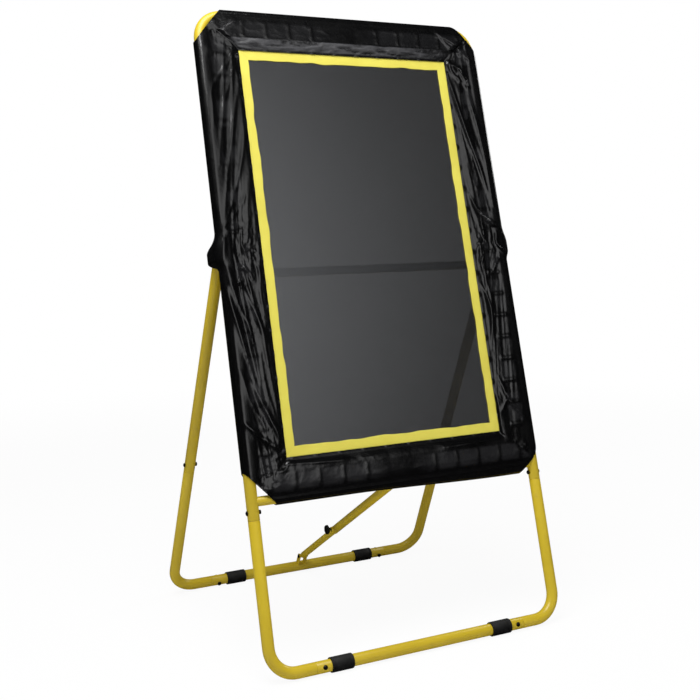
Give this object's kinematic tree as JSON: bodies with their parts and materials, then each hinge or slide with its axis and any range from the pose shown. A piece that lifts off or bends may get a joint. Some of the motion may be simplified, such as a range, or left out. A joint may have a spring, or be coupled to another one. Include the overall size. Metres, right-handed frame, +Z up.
{
  "type": "lacrosse rebounder",
  "caption": "Folding lacrosse rebounder: a leaning tube frame with a sprung mat and padded cover, a pivoted rear stand and a telescoping brace with a clamp knob.",
  "frame": {"origin": "on the floor, midway between the front and rear rails, in the plane of symmetry", "axes": "+Z up, +X to the right seen from the front, +Y to the back, so the rebound face looks towards -Y"},
  "size_m": [1.135, 0.9945, 2.1052],
  "materials": {
    "yellow_paint": "satin powder coat",
    "black_rubber": "matte",
    "black_plastic": "moulded",
    "zinc_steel": "zinc plated",
    "woven_mat": "woven plastic yarn",
    "yellow_webbing": "woven webbing",
    "black_vinyl": "glossy coated cloth"
  },
  "bodies": {
    "front_frame": {"bottom_corner_left": "yellow_paint", "bottom_corner_right": "yellow_paint", "bottom_rail": "yellow_paint", "brace_bolt_upper": "zinc_steel", "brace_ear_front_left": "yellow_paint", "brace_ear_front_right": "yellow_paint", "cover_bottom": "black_vinyl", "cover_left": "black_vinyl", "cover_right": "black_vinyl", "cover_top": "black_vinyl", "front_foot_sleeve_left": "black_rubber", "front_foot_sleeve_right": "black_rubber", "front_leg_bolt_left": "zinc_steel", "front_leg_bolt_right": "zinc_steel", "front_rail_bolt_left": "zinc_steel", "front_rail_bolt_right": "zinc_steel", "lower_cross_tube": "yellow_paint", "mat": "woven_mat", "mat_webbing": "yellow_webbing", "mid_bar": "yellow_paint", "pivot_bolt_left": "zinc_steel", "pivot_bolt_right": "zinc_steel", "pivot_bracket_left": "yellow_paint", "pivot_bracket_right": "yellow_paint", "side_tube_left": "yellow_paint", "side_tube_right": "yellow_paint", "spring_bottom_1": "zinc_steel", "spring_bottom_2": "zinc_steel", "spring_left_1": "zinc_steel", "spring_left_2": "zinc_steel", "spring_left_3": "zinc_steel", "spring_right_1": "zinc_steel", "spring_right_2": "zinc_steel", "spring_right_3": "zinc_steel", "spring_top_1": "zinc_steel", "spring_top_2": "zinc_steel", "upper_corner_left": "yellow_paint", "upper_corner_right": "yellow_paint"},
    "rear_stand": {"brace_bolt_lower_head": "zinc_steel", "brace_bolt_lower_nut": "zinc_steel", "brace_ear_rear_left": "yellow_paint", "brace_ear_rear_right": "yellow_paint", "rear_corner_left": "yellow_paint", "rear_corner_right": "yellow_paint", "rear_foot_sleeve_left": "black_rubber", "rear_foot_sleeve_right": "black_rubber", "rear_leg_bolt_left": "zinc_steel", "rear_leg_bolt_right": "zinc_steel", "rear_leg_left": "yellow_paint", "rear_leg_right": "yellow_paint", "rear_rail": "yellow_paint", "rear_rail_bolt_left": "zinc_steel", "rear_rail_bolt_right": "zinc_steel"},
    "brace_outer": {"brace_tube": "yellow_paint", "knob_boss": "yellow_paint"},
    "brace_inner": {"brace_end": "yellow_paint", "brace_slider": "yellow_paint"},
    "clamp_knob": {"knob": "black_plastic"}
  },
  "joints": [
    {"name": "rear_stand_fold", "type": "hinge", "parent": "front_frame", "child": "rear_stand", "pos_m": [0, -0.1168, 1.27271], "axis": [-1, 0, 0], "range_deg": [0, 39.06]},
    {"name": "brace_swing", "type": "hinge", "parent": "front_frame", "child": "brace_outer", "pos_m": [0, -0.30528, 0.51791], "axis": [-1, 0, 0], "range_deg": [0, 72.94]},
    {"name": "brace_slide", "type": "slide", "parent": "brace_outer", "child": "brace_inner", "axis": [0, -0.8585, 0.5127], "range_m": [0, 0.3252]},
    {"name": "knob_turn", "type": "hinge", "parent": "brace_outer", "child": "clamp_knob", "pos_m": [0, 0.13687, 0.25385], "axis": [-1, 0, 0], "continuous": true}
  ],
  "couplings": [
    {"joint": "brace_swing", "follows": "rear_stand_fold", "ratio": 1.867},
    {"joint": "brace_slide", "follows": "rear_stand_fold", "m_per_rad": 0.47678}
  ]
}
